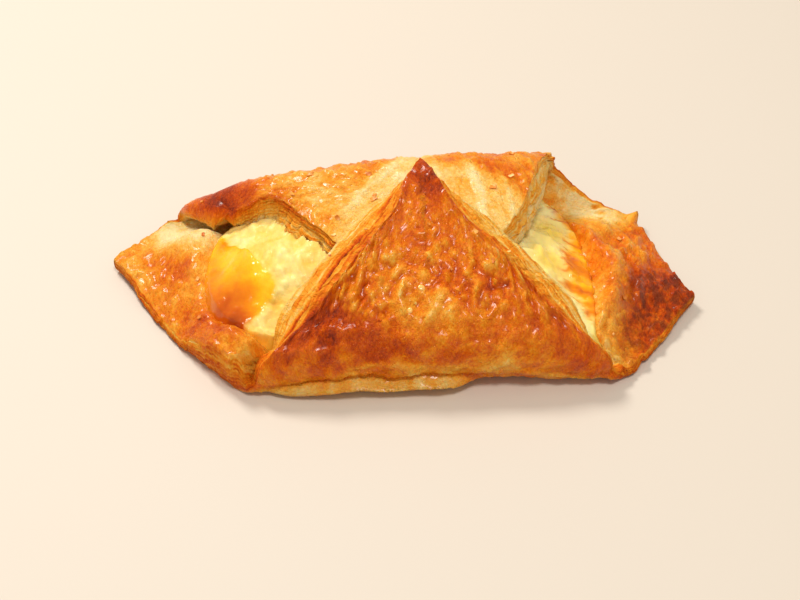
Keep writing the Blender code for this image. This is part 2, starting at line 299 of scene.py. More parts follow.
dough = {
    "cells": 200,  # squares along each side of the sheet
    "rows": 18,  # rows of faces on its cut edge
    "longSide": 135.0,
    "shortSide": 114.5,
    "left": np.array([-83.5, 0.0]),  # corners of the flat sheet, seen from above
    "front": np.array([15.3, -92.0]),
    "frontFold": (0.492, 0.634),  # where the folds meet the sheet's sides
    "frontFoldLength": 94.0,
    "backFold": (0.241, 0.575),
    "underFilling": 5.0,  # thickness of the dough in each place
    "flap": 5.5,
    "corner": 3.6,
    "rimEdge": 3.2,
    "layerGap": 0.8,  # between the flaps
    "panelHeight": 12.0,  # side panels, where they meet the custard
    "panelEdge": 46.5,  # from the middle, where they start to thin out
    "tipLift": 1.3,
    "tipStart": 62.0,
    "wallLift": 6.0,  # the wall at the back right
    "settle": 26.0,  # reach over which the folds pull the sheet in
    "lip": 3.6,  # how far the lip below the front fold stands out
    "frontFlare": (10.5, 8.5),  # how far the front flap's left and right cut edges slope out
    "backFlare": (3.0, 4.5),
    "flareShare": {-1: -0.65, 0: 0.0, 1: 0.35},  # of that, on the outer skin, the middle and the inner skin
    "arch": (3.6, -37.0, 7.5),  # the back flap's left edge over the pocket: depth, place and reach
    "climb": 20.0,  # how soon a flap reaches its height past the fold
    "layers": 8,  # that show on the cut edges
    "tipCalm": (74.0, 8.0),  # the cut edges are plainer past here, towards the tips
    "horn": (105.5, 1.5, 2.8),  # a pulled point on the back right edge: place, half width and length
    "box": (84.3, 42.9),  # half sides the finished piece keeps to
    "boxEase": 1.5,
    "frontRise": [(0.0, 16), (0.2, 22.5), (0.38, 27.8), (0.56, 32.6), (0.75, 36.6), (1.0, 40)],
    "backRidge": [(0.0, 6), (0.10, 9), (0.165, 18.5), (0.28, 26), (0.42, 29.5), (0.56, 31), (0.66, 30),
                  (0.75, 28), (1.0, 22)],
    # baked patches: how much darker, then their middle, half sides, turn and softness
    "frontPatches": [(0.30, 5.5, 6, 7, 7, 0, 1.5), (0.08, 9, -8, 7, 10), (0.12, -20, -34, 12, 6),
                     (0.07, 40, -29, 16, 6, -20), (-0.14, 14, -30, 16, 4), (0.11, -21, -36, 12, 9),
                     (0.05, -22, -20, 9, 12, -30)],
    "goldPatches": [(-0.12, 26, -40, 16, 6), (-0.08, -30, -42, 8, 6)],
    "backPatches": [(0.03, 24, 32, 18, 5)],
    "innerPatches": [(0.22, -66, -4, 8, 8, 0, 1.3), (0.12, -61, -19, 4, 10, 35), (0.12, -50, -30, 9, 8, -40),
                     (0.12, 55, 9, 5, 10), (-0.05, 61, -11, 6, 8), (0.10, 57, -22, 5, 7),
                     (0.12, -52, -30, 9, 7, -40), (0.10, -40, -36, 8, 5, -40)],
    "roll": (-53, 14, 13, 9, -10, 2.2),  # the back flap's rolled end, left
    "wallPatch": (51, 36, 15, 8, -28, 2.0),  # pale, at the back right
    "streakyPatch": (-65, 12, 14, 9.5, -42, 1.5),  # pale, beside the roll
    "burntPatch": (73, -1, 14, 8, 52, 1.6),
    "burntBlisters": (74, 4, 6, 3.5, -40),
    "besideRoll": (2.8, -58, 9, 9, 4.5, -30),  # the panel rises to the roll, in mm
    "frontLobe": (4.2, -39, -35, 9, 4.2, -40, 1.5),  # and in the front left corner
    "cutBake": [0.33, 0.30, 0.34, 0.18],  # back left, front right, front left, back right
    "bakeColours": [(0.00, (255, 232, 170)), (0.16, (255, 210, 122)), (0.32, (252, 178, 62)),
                    (0.48, (242, 142, 24)), (0.62, (226, 106, 8)), (0.76, (200, 74, 3)),
                    (0.88, (154, 46, 6)), (1.00, (100, 30, 8))],
    "burntColour": (112, 44, 20),
}
dough["right"], dough["back"] = -dough["left"], -dough["front"]


class Fold:  # a corner of the sheet turned up and over
    def __init__(self, corner, left, right, tip, edgeLeft, edgeRight, height, radius, outline, shares):
        self.left, self.right, self.tip, self.shares = left, right, np.array(tip, float), shares
        run = right - left
        self.outward = np.array([run[1], -run[0]]) / np.linalg.norm(run)
        if np.dot(corner - left, self.outward) < 0:
            self.outward = -self.outward
        self.reach = np.dot(corner - left, self.outward)
        self.span = np.dot(left - self.tip, self.outward)
        self.edgeLeft, self.edgeRight = [left, *edgeLeft, self.tip], [right, *edgeRight, self.tip]
        self.height, self.radius = height, radius
        self.outline = [left, *[np.array(point, float) for point in outline], right]

    def measure(self, a, b):  # way past the fold line, place along it, and the fold's shape there
        leftShare, rightShare = self.shares(a, b)
        past = (1 - leftShare - rightShare) * self.reach
        place = np.clip(rightShare / np.maximum(leftShare + rightShare, 1e-9), 0, 1)
        radius = along(self.radius, place)
        return past, place, radius, along(self.height, place), radius * np.pi / 2

    def face(self, a, b):  # the same, the angle round the fold, and 1 where the skin faces out
        past, place, _, _, halfArc = self.measure(a, b)
        angle = np.clip(past / halfArc, -1, 1) * np.pi / 2
        return past, place, angle, ramp((angle + 1.45) / 0.3)


def between(start, end, share):
    return blend(dough[start], dough[end], share)


frontLeft, frontRight = dough["frontFold"]
backLeft, backRight = dough["backFold"]
frontFold = Fold(
    dough["front"], between("left", "front", frontLeft), between("front", "right", frontRight),
    tip=(4.4, 11.3), edgeLeft=[(-16, -19)], edgeRight=[(31, -12)],
    height=[(0, 9), (0.12, 13.5), (0.5, 18), (0.88, 14), (1, 9)],
    radius=[(0, 4.5), (0.12, 6.5), (0.5, 9), (0.88, 7), (1, 4.5)], outline=[(5.5, 10.5)],
    shares=lambda a, b: ((1 - a) / (1 - frontLeft), b / frontRight))
backFold = Fold(
    dough["back"], between("left", "back", backLeft), between("back", "right", backRight),
    tip=(9, -20), edgeLeft=[(-56, 2), (-40, 14), (-22, 2), (-20, -26)], edgeRight=[(38, 14), (38, -10)],
    height=[(0, 9), (0.1, 18.5), (0.25, 26.5), (0.5, 30.5), (0.85, 31), (1, 28.5)],
    radius=[(0, 4.8), (0.1, 8), (0.25, 10), (0.5, 11), (1, 11)],
    outline=[(-24, -6), (-19, -19), (9, -21), (33, -8)],
    shares=lambda a, b: ((1 - b) / (1 - backLeft), a / backRight))


def poolEdge(xy):  # distance outside the edge of the custard, in plan
    x, y = xy[..., 0], xy[..., 1]
    share = ramp((x + 20) / 40)
    across = blend((y + 9) / np.where(y < -9, 23.5, 26), (y + 8) / 44, share)
    outX = np.maximum(-32 - x - 0.12 * (y + 9), 0) / 21.5 + np.maximum(x - 30 + 0.1 * (y + 8), 0) / 24
    return ((outX ** 2.3 + np.abs(across) ** 2.3) ** (1 / 2.3) - 1) * 23


def baseTop(xy):  # top of the bottom dough: thin under the filling, thick at the side panels
    panel = ramp((poolEdge(xy) + 7) / 11) * ramp((np.abs(xy[..., 0]) - 28) / 14)
    covered = np.maximum(insideOf(xy, frontFold.outline), insideOf(xy, backFold.outline))
    panel = panel * ramp((2 - covered) / 8)
    return blend(dough["underFilling"], dough["panelHeight"], panel)


def frontTop(xy):
    travel = (frontFold.left - xy) @ frontFold.outward / frontFold.span
    return np.maximum(along(dough["frontRise"], travel), baseTop(xy) + dough["flap"] + dough["layerGap"])


def backTop(xy):
    share = (xy[..., 0] - dough["left"][0]) / (dough["right"][0] - dough["left"][0])
    forward = np.maximum(18 - xy[..., 1], 0)
    steep = 0.10 + 0.5 * ramp((-xy[..., 0] - 32) / 22)
    ridge = along(dough["backRidge"], share) - steep * forward
    underFront = frontTop(xy) - dough["flap"] - dough["layerGap"] - 1.0
    covered = ramp((insideOf(xy, frontFold.outline) + 8) / 6)
    tucked = np.minimum(ridge, underFront + (1 - covered) * 20)
    return np.maximum(tucked, baseTop(xy) + dough["flap"] + dough["layerGap"])


def swell(a, b):  # the side panels' cut edges bulge out in plan
    rightBack = 8.0 * np.exp(-((a - 0.80) / 0.12) ** 2) * ramp((b - 0.72) / 0.28) * ramp((a - 0.60) / 0.1)
    leftFront = 2.5 * np.exp(-((a - 0.25) / 0.13) ** 2) * ramp((0.25 - b) / 0.25)
    return (rightBack - leftFront)[..., None] * np.array([0.68, 0.73])


def onSheet(a, b):
    return (dough["left"] + a[..., None] * (dough["front"] - dough["left"])
            + b[..., None] * (dough["back"] - dough["left"]))


def flapPlace(fold, flare, side, place, travel):  # where a flap's point lies in plan
    edgeL, edgeR = bezier(fold.edgeLeft, travel), bezier(fold.edgeRight, travel)
    width = np.maximum(np.linalg.norm(edgeR - edgeL, axis=-1), 2.0)
    fan = np.where(place < 0.5, *flare) * ramp(travel / 0.25) * ramp(width / 34)
    toEdge = np.minimum(place, 1 - place) * width
    shift = dough["flareShare"][side] * fan / width * np.exp(-toEdge / 8) * np.sign(place - 0.5)
    share = np.clip(place + np.clip(shift, -0.3, 0.3), -0.2, 1.2)[..., None]
    flap = blend(edgeL, edgeR, share)
    if fold is backFold:  # its left edge arches back over the pocket
        depth, middle, reach = dough["arch"]
        arch = depth * np.exp(-((flap[..., 0] - middle) / reach) ** 2)
        flap[..., 1] += arch * np.exp(-place * width / 9)
    return flap


def foldSheet(a, b, side):  # side is -1 on the outer skin, 0 between them and 1 on the inner one
    flat = onSheet(a, b)
    xy = flat + swell(a, b)
    z = dough["tipLift"] * ramp((np.abs(flat[..., 0]) - dough["tipStart"]) / 22)
    for fold, top, flare in ((frontFold, frontTop, "frontFlare"), (backFold, backTop, "backFlare")):
        past, place, radius, height, halfArc = fold.measure(a, b)
        angle = np.clip(past / halfArc, -1, 1) * np.pi / 2
        inward = radius * (1 - np.cos(angle))
        settle = (halfArc - radius) * ramp(1 - (-past - halfArc) / dough["settle"])
        outward = np.where(past < -halfArc, settle, np.abs(past) - inward)
        base = xy + fold.outward * outward[..., None]
        arcZ = height * (1 + np.sin(angle)) / 2
        if fold is backFold:
            wall = dough["wallLift"] * ramp((place - 0.75) / 0.25) * ramp((past + 30) / 30)
            arcZ = arcZ + wall * (1 - arcZ / height)
        onward = (past - halfArc) * (fold.span - radius) / np.maximum(fold.reach - halfArc, 1)
        travel = np.clip(np.where(past < halfArc, inward, radius + onward) / fold.span, 0, 1)
        flap = flapPlace(fold, dough[flare], side, place, travel)
        climb = 1 - (1 - np.clip(past / dough["climb"], 0, 1)) ** 2
        xy = np.where((past > 0)[..., None], flap, base)
        z = np.where(past > 0, arcZ + (top(flap) - height) * climb, z + arcZ)
    return np.concatenate([xy, z[..., None]], axis=-1)


def doughThickness(a, b):  # and how much of it the folds take away
    flat = onSheet(a, b)
    toEdge = np.minimum(np.minimum(a, 1 - a) * dough["longSide"], np.minimum(b, 1 - b) * dough["shortSide"])
    outer = ramp((np.abs(flat[..., 0]) - dough["panelEdge"]) / 12)
    rim = ramp((toEdge + 1.5) / 19)
    tip = 1 - 0.45 * ramp((np.abs(flat[..., 0]) - 60) / 20)
    full = baseTop(flat)
    thick = blend(full, blend(dough["rimEdge"], full * tip, rim), outer)
    flatThick = thick
    for fold in (frontFold, backFold):
        past, place, radius, _, halfArc = fold.measure(a, b)
        atEnd = 1 - ramp(np.minimum(place, 1 - place) / 0.18)
        flap = blend(dough["flap"], dough["corner"], atEnd)
        turned = ramp((past + halfArc + 9) / 9)
        thick = blend(thick, np.minimum(flap, 0.85 * radius), turned)
        thick = blend(thick, dough["flap"], ramp((past - 0.6 * halfArc) / 12))
    return thick, np.maximum(flatThick - thick, 0)


def normalsOf(skin):
    normal = np.cross(np.gradient(skin, axis=0), np.gradient(skin, axis=1))
    return normal / np.maximum(np.linalg.norm(normal, axis=-1, keepdims=True), 1e-9)


class Crust:  # patterns over the flat sheet, which all of its skins share
    def __init__(self, a, b):
        u, v = a * dough["longSide"], b * dough["shortSide"]
        self.u, self.v = u, v
        self.warpU, self.warpV = [5.0 * (cloud(u, v, 8, seed) - 0.5) for seed in (3, 7)]
        self.lumps = 2 * (cloud(u, v, 11, 11) - 0.5)
        self.dents = 2 * (cloud(u, v, 4.5, 13, 3) - 0.5)
        self.small = bubbles(u + self.warpU, v, 3.0, 21, 0.8)
        self.tiny = bubbles(u, v + self.warpV, 1.9, 31, 0.7)
        self.crinkle = ridges(u + self.warpU, v + self.warpV, 5.2, 41) - 0.45
        self.patch = cloud(u, v, 16, 81) - 0.5
        self.mottle = cloud(u, v, 4.0, 83) - 0.5


# The next three give the height in mm and the bake of a part of the crust, with painted shade in it: raised
# parts are painted paler and hollows and creases darker, as light falls on the relief. Bake goes from 0, pale,
# to
# 1, nearly black.

def frontRelief(crust, a, b, x, y):  # the front flap, its fold and the lip below
    past, place, angle, face = frontFold.face(a, b)
    travel = np.clip(past / frontFold.reach, -0.2, 1)
    warpU, warpV, patch, mottle = crust.warpU, crust.warpV, crust.patch, crust.mottle
    upper = band(travel + warpU * 0.02, 0.42, 1.2, 0.3)
    crumple = band(travel + warpU * 0.025, 0.26, 0.56, 0.16)
    lower = 1 - ramp((travel - 0.16) / 0.14)
    upright = ridges(x + warpU * 1.3, y * 0.45 + warpV * 0.7, 3.2, 43) - 0.45
    levelLines = ridges(place * 26 + warpU * 0.4, past + warpV * 0.8, 4.2, 51) - 0.45
    height = (0.7 * crust.lumps + 0.45 * crust.dents
              + upper * (0.70 * upright + 0.45 * crust.small + 0.40 * crust.tiny)
              + crumple * (1.3 * np.maximum(crust.crinkle, -0.2) + 0.75 * crust.small)
              + (1 - upper) * (0.8 * crust.crinkle + 0.35 * crust.tiny) + lower * 0.9 * levelLines)
    flaky = ramp((cloud(crust.u + warpU * 0.5, crust.v, 6.5, 91, 3) - 0.50) / 0.05)
    height = height + 0.35 * flaky * band(travel + warpU * 0.02, 0.14, 0.50, 0.12)

    # the lip sticks out below a crease that waves along the fold
    run = place * dough["frontFoldLength"]
    wave = 0.22 * (noise(run, np.zeros_like(run), 9, 61) - 0.5)
    lipPlace = ramp((place - 0.03) / 0.12) * ramp((0.64 - place) / 0.12)
    lipShape = lipPlace * ramp((angle + 1.45) / 0.45) * ramp((-0.40 + wave - angle) / 0.14)
    lip = dough["lip"] * lipShape * (0.85 + 0.3 * noise(run, past, 7, 62))
    crease = lipPlace * np.exp(-((angle + 0.34 - wave) / 0.07) ** 2)
    height = height * (1 - 0.65 * lipShape) - 1.1 * crease

    # painted shade: the height terms paint raised blisters and flakes paler and the creases between them darker
    bake = 0.63 + 0.30 * patch + 0.24 * mottle - 0.16 * crumple * crust.small - 0.13 * height - 0.04 * upper
    bake = bake + patches(dough["frontPatches"], x, y)
    golden = (1 - ramp((angle - 0.2 + 0.8 * patch + 0.5 * mottle) / 0.8)) * face
    goldBake = 0.54 - 0.34 * levelLines + 0.4 * mottle + patches(dough["goldPatches"], x, y)
    bake = blend(bake, goldBake, golden)
    lipGold = lipPlace * ramp((-0.28 + wave - angle) / 0.1) * face
    # painted shade: the crease above the lip is painted darker
    bake = blend(bake, 0.29 + 0.45 * mottle, lipGold) + 0.32 * crease
    return face, height, lip, bake


def backRelief(crust, a, b, xy):  # a roll over the left pocket, cream pleats in the middle, browned ends
    x, y = xy[..., 0], xy[..., 1]
    face = backFold.face(a, b)[3]
    roll = spot(x, y, *dough["roll"])
    beside = -insideOf(xy, frontFold.outline) + 0.5 * crust.warpU
    toRight = ramp((x - 2) / 8)
    paleWidth = blend(8 + 7 * ramp((y + 14) / 24), 17, toRight)
    pale = ramp((paleWidth - beside) / 6 + 0.5) * (1 - toRight * ramp((y - 17 + 0.6 * crust.warpV) / 6))
    lean = blend(beside, x + 0.3 * y, toRight)
    pleats = ridges(lean + 0.4 * crust.warpU, (x + y) * 0.12, 3.4, 73) - 0.45
    rim = np.exp(-np.maximum(crust.u - 4, 0) / 3.0) * band(x, -44, -16, 8)
    blisters = (1 - 0.8 * pale) * (0.75 * crust.small + 0.45 * crust.tiny + 0.7 * crust.crinkle)
    height = blend(0.7 * crust.lumps + blisters + pleats * (0.35 + 0.65 * pale), 0.9, roll) + rim
    # painted shade: raised blisters and pleat crests are painted paler, the hollows between them darker
    bake = 0.53 + 0.42 * crust.patch + 0.34 * crust.mottle - 0.12 * height - 0.10 * pleats
    bake = bake + patches(dough["backPatches"], x, y)
    cream = np.clip(pale * (0.95 + 0.4 * crust.mottle), 0, 1)
    # in the cream, pleat crests are painted paler than the hollows: painted light and shade on the relief
    bake = blend(bake, 0.10 - 0.30 * pleats + 0.5 * np.maximum(crust.mottle, 0), cream)
    rollBake = 0.84 - 0.012 * np.abs(x - dough["roll"][0]) + 0.25 * crust.mottle
    return face, height, blend(bake, rollBake, roll) + 0.12 * rim, (1 - 0.5 * pale) * (1 - 0.5 * roll)


def innerRelief(crust, b, xy):  # the side panels and the wall at the back right
    x, y = xy[..., 0], xy[..., 1]
    panel = ramp((poolEdge(xy) + 4.5) / 3.5)
    wall, streaky = spot(x, y, *dough["wallPatch"]), spot(x, y, *dough["streakyPatch"])
    smooth = np.clip(wall + streaky, 0, 1)
    rays = ridges((x + y) * 0.75 + 0.3 * crust.warpU, (x - y) * 0.12, 2.6, 99, 2) - 0.45
    pits = bubbles(crust.u, crust.v, 3.4, 111, 0.45)
    ridgeLine = np.exp(-((x - 60.5 + 0.018 * (y + 5) ** 2 + 0.3 * crust.warpU) / 2.6) ** 2)
    ridgeLine = ridgeLine * band(y, -18, 26, 8)
    valley = np.exp(-((x - 66.0 + 0.03 * (y - 2) ** 2) / 2.8) ** 2) * band(y, -8, 20, 8)
    lobes = 0.9 * np.sin(crust.v * 0.55 + 2.0 * crust.patch) * np.exp(-np.minimum(crust.v, 40) / 12) * (x < 0)
    blisters = 0.75 * crust.small + 0.45 * crust.tiny + 0.8 * crust.crinkle
    height = panel * (0.9 * crust.lumps + 0.3 * crust.dents + (1 - 0.85 * smooth) * blisters)
    height = height + panel * ramp((x - 40) / 8) * (1 - smooth) * (0.7 * crust.crinkle + 0.3 * crust.small)
    height = height + 2.0 * ridgeLine - 1.3 * valley + 0.7 * rays * streaky - 0.7 * pits * wall
    height = height + lobes * panel * 0.4 + patches([dough["besideRoll"]], x, y)
    # painted shade: the height term paints raised parts paler and hollows and valleys darker
    bake = 0.42 + 0.34 * crust.patch + 0.30 * crust.mottle - 0.10 * height
    bake = bake + patches(dough["innerPatches"], x, y) + 0.30 * ridgeLine + 0.10 * ramp((x - 60) / 8)
    height = height + patches([dough["frontLobe"]], x, y)
    frontRim = ramp((10 - (dough["longSide"] - crust.u) + 0.8 * crust.warpU) / 5) * ramp((b - 0.68) / 0.12)
    burnt = np.clip(spot(x, y, *dough["burntPatch"]) + 0.8 * frontRim, 0, 1)
    bake = bake + 0.24 * burnt + (0.22 * spot(x, y, *dough["burntBlisters"]) + 0.15 * burnt) * crust.small
    # painted shade in the wall's pits, which are painted darker, and ridges of the streaky patch painted paler;
    # the low level of the wall and the streaky patch is partly their own pale colour and partly painted light
    # for places the lamps leave in shade
    smoothBakeLightShade = 0.4 * np.maximum(crust.mottle, 0) - 0.14 * rays * streaky + 0.5 * pits * wall
    bake = blend(0.16, blend(bake, smoothBakeLightShade, smooth), panel)
    return height, bake, burnt, 0.85 * (1 - smooth) * (1 - 0.8 * frontRim) + 0.15


def cutProfile(s, c, edge, toPanel, roll):  # how far a point on the cut edge stands out, and its bake
    wander = 1.2 * (noise(s, c * 3, 10, 301 + edge) - 0.5) + 0.5 * (noise(s, c * 9, 3, 305 + edge) - 0.5)
    phase = c * dough["layers"] + wander
    index = np.floor(phase)
    part = phase - index
    stand = noise(s, index * 31, 8, 311 + edge) - 0.5 + 0.7 * (noise(s, index * 17, 2.6, 313 + edge) - 0.5)
    groove = np.exp(-(np.minimum(part, 1 - part) / 0.2) ** 2)
    bulge = np.sin(np.pi * c)
    inside = bulge.clip(0) ** 0.5
    splitLine = 0.42 + 0.2 * (noise(s, np.zeros_like(s), 14, 331) - 0.5)
    split = np.exp(-((c - splitLine) / 0.05) ** 2) * (edge == 2) * (1 - toPanel)
    overhang = 2.6 * (edge == 0) * c * c * ramp((s - 52) / 8) * ramp((88 - s) / 12)
    layered = inside * (1.3 * stand - 0.4 * groove) + overhang
    layered = blend(layered, 2.4 * bulge, roll) - 1.1 * split
    rounded = 1.5 * bulge + 0.3 * inside * (stand - 0.5 * groove)
    slope = 0.25 + 0.20 * (edge == 0)
    bake = blend(np.choose(edge, dough["cutBake"]), 0.52, toPanel)
    bake = bake + 0.20 * groove + 0.28 * stand + slope * (0.5 - c)
    bake = blend(bake, 0.80 - 0.75 * c, roll) + 0.40 * split
    return blend(layered, rounded, toPanel), bake


def raggedEdge(s, c, edge, overPocket):  # small tears in the cut edge's outline
    coarse = 1.1 * (cloud(s, edge * 40.0, 5, 421) - 0.5)
    fine = (0.9 + 1.6 * (edge == 0) * overPocket * (c > 0.5)) * (cloud(s, edge * 40.0 + c * 2, 2.2, 423) - 0.5)
    place, reach, length = dough["horn"]
    return coarse + fine + (edge == 3) * length * np.exp(-((s - place) / reach) ** 2)


def outwardOf(centre):  # which way each cut edge faces
    out = np.zeros_like(centre)
    for axis in (0, 1):
        slope = np.gradient(centre, axis=axis)
        slope = slope / np.maximum(np.linalg.norm(slope, axis=-1, keepdims=True), 1e-9)
        for index, sign in ((0, -1), (dough["cells"], 1)):
            row = (index, slice(None)) if axis == 0 else (slice(None), index)
            out[row] += sign * slope[row]
    return out


def softLimit(value, limit):  # eases a coordinate to stay within its limit
    ease = dough["boxEase"]
    over = np.maximum(np.abs(value) - limit + ease, 0)
    return np.sign(value) * (np.abs(value) - over + ease * np.tanh(over / ease))


def makeSlab(material):  # a unit square slab with rows of faces round its cut edge
    cells = dough["cells"]
    deselect()
    bpy.ops.mesh.primitive_grid_add(x_subdivisions=cells, y_subdivisions=cells, size=1, location=(0.5, 0.5, 0))
    applyTransform()
    sheet = keepAs("doughSheet", material)
    thicken(sheet, 1.0, 1.0)
    mesh = sheet.data
    co = coordinates(mesh)
    ends = np.empty(len(mesh.edges) * 2, int)
    mesh.edges.foreach_get("vertices", ends)
    ends = ends.reshape(-1, 2)
    upright = np.abs(co[ends[:, 0], 2] - co[ends[:, 1], 2]) > 0.5
    enter("EDIT")
    bpy.ops.mesh.select_mode(type="EDGE")
    bpy.ops.mesh.select_all(action="DESELECT")
    enter("OBJECT")
    mesh.edges.foreach_set("select", upright)
    enter("EDIT")
    bpy.ops.mesh.subdivide(number_cuts=dough["rows"] - 1)
    enter("OBJECT")
    print("slab", len(mesh.polygons), "faces")
    return sheet


def makeSkins():  # both skins as grids of points, and what is painted on them
    line = np.linspace(0, 1, dough["cells"] + 1)
    a, b = np.meshgrid(line, line, indexing="ij")
    outer, middle, inner = [foldSheet(a, b, side) for side in (-1, 0, 1)]
    normal = normalsOf(middle)
    thick, missing = doughThickness(a, b)
    inner = inner + normal * thick[..., None]
    bare = ramp((-insideOf(inner[..., :2], frontFold.outline) - 1.5) / 5) * (frontFold.measure(a, b)[0] < 0)
    inner[..., 2] += bare * missing * ramp((-8 - inner[..., 1]) / 8)

    crust = Crust(a, b)
    frontFace, frontHeight, lip, frontBakeAndShade = frontRelief(crust, a, b, outer[..., 0], outer[..., 1])
    backFace, backHeight, backBakeAndShade, backGloss = backRelief(crust, a, b, outer[..., :2])
    innerHeight, innerBakeAndShade, burnt, innerGloss = innerRelief(crust, b, inner[..., :2])
    onBack = backFace * (1 - frontFace)
    underside = 1 - np.maximum(frontFace, onBack)
    outerHeight = (frontFace * frontHeight + onBack * backHeight) * ramp((outer[..., 2] - 0.3) / 3)
    outerBakeAndShade = frontFace * frontBakeAndShade + onBack * backBakeAndShade + underside * (
        0.52 + 0.25 * crust.patch + 0.2 * crust.mottle)
    outer = outer - normal * outerHeight[..., None]
    outer[..., :2] += frontFold.outward * lip[..., None]
    outer[..., 2] = np.maximum(outer[..., 2], 0.0)
    inner = inner + normal * innerHeight[..., None]
    return outer, inner, (outerBakeAndShade, innerBakeAndShade), (frontFace + onBack * backGloss, innerGloss), burnt, lip


def buildDough(material):
    sheet = makeSlab(material)
    outer, inner, bakesAndShades, glosses, burnt, lip = makeSkins()
    print("skins", outer.shape)

    # each vertex of the slab finds its place on the sheet
    cells, mesh = dough["cells"], sheet.data
    co = coordinates(mesh)
    i, j = np.clip(np.rint(co[:, :2] * cells).astype(int), 0, cells).T
    c = np.clip(co[:, 2], 0, 1)
    a, b = i / cells, j / cells
    u, v = a * dough["longSide"], b * dough["shortSide"]

    place = blend(outer[i, j], inner[i, j], c[:, None])
    onEdge = (i == 0) | (i == cells) | (j == 0) | (j == cells)
    edge = np.where(i == 0, 0, np.where(i == cells, 1, np.where(j == 0, 2, 3)))
    s = np.where(edge < 2, v, u)  # way along the edge
    onFlap = np.maximum(*[ramp((fold.measure(a, b)[0] - 2) / 6) for fold in (frontFold, backFold)])
    roll = (edge == 0) * band(b, 0.27, 0.47, 0.08)
    stand, cutBake = cutProfile(s, c, edge, 1 - onFlap, roll)
    calmFrom, calmOver = dough["tipCalm"]
    calm = 1 - 0.8 * ramp((np.abs(place[:, 0]) - calmFrom) / calmOver)
    push = (stand + raggedEdge(s, c, edge, onFlap * (1 - roll))) * onEdge * calm
    place = place + outwardOf((outer + inner) / 2)[i, j] * push[:, None]
    place[:, 2] = np.maximum(place[:, 2], 0.0)
    place[:, :2] += frameShift
    for axis in (0, 1):
        place[:, axis] = softLimit(place[:, axis], dough["box"][axis])
    mesh.vertices.foreach_set("co", (place * mm).ravel())

    cut = onEdge * ramp(c / 0.12) * ramp((1 - c) / 0.12)
    bake, glaze = [blend(first[i, j], second[i, j], c) for first, second in (bakesAndShades, glosses)]
    # the bake carries painted shade from the relief: raised parts paler, hollows darker
    paint(mesh, "bake", blend(bake, cutBake, cut))
    paint(mesh, "cut", cut * (1 - roll))
    paint(mesh, "burnt", burnt[i, j] * c)
    paint(mesh, "glaze", np.clip(glaze, 0, 1))
    depth = c * 5 + lip[i, j] * 1.4 * (1 - c)
    paint(mesh, "sheet", np.stack([u, v, depth], 1))
    paint(mesh, "grain", np.stack([s, c * 5.5, edge * 50.0], 1))
    return finishPiece(sheet, 55)


def doughMaterial():
    shader = Shader("bakedDough")
    sheet, streaks = shader.attribute("sheet", "Vector"), shader.attribute("grain", "Vector")
    grain = shader.node("ShaderNodeMapping", {}, {"Vector": streaks, "Scale": (0.12, 3.0, 1.0)}).outputs[0]
    bake, cut = shader.attribute("bake"), shader.attribute("cut")
    burnt, glaze = shader.attribute("burnt"), shader.attribute("glaze")
    blotch = shader.noise(sheet, 0.30, 4.0, 0.6)
    speck = shader.noise(sheet, 1.3, 4.0, 0.62, 0.6)
    crests = 1 - abs(shader.noise(sheet, 0.8, 3.0, 0.55, 0.8) * 2 - 1)
    lines = shader.noise(grain, 1.0, 3.0, 0.6, 0.3)
    level = bake + (blotch - 0.5) * 0.36 * (1 - cut) + (speck - 0.5) * 0.44 + (lines - 0.5) * cut * 0.55
    colour = shader.colours(dough["bakeColours"], level.clamp())
    scorch = (burnt * shader.noise(sheet, 0.5, 3.0).step(0.40, 0.60) * 0.75).clamp()
    shader.setAll({
        "Base Color": shader.mix(scorch, colour, fourOf(dough["burntColour"])),
        "Roughness": (0.46 - glaze * 0.16 + (speck - 0.5) * 0.30 + cut * 0.25).clamp(),
        "Coat Weight": (glaze * (1 - cut) * blotch.step(0.38, 0.62) * 0.5).clamp(),
        "Coat Roughness": 0.17, "Specular IOR Level": 0.16, "Specular Tint": (1.0, 0.82, 0.58, 1.0),
        "Subsurface Weight": 0.25, "Subsurface Radius": (1.0, 0.45, 0.15), "Subsurface Scale": 0.002})
    grit = shader.noise(sheet, 4.0, 3.0)
    shader.bump(speck * 0.40 + crests * 0.42 + grit * 0.14 + lines * cut * 0.5, 1.0, 0.0014)
    return shader.material


# The custard that shows in the two pockets

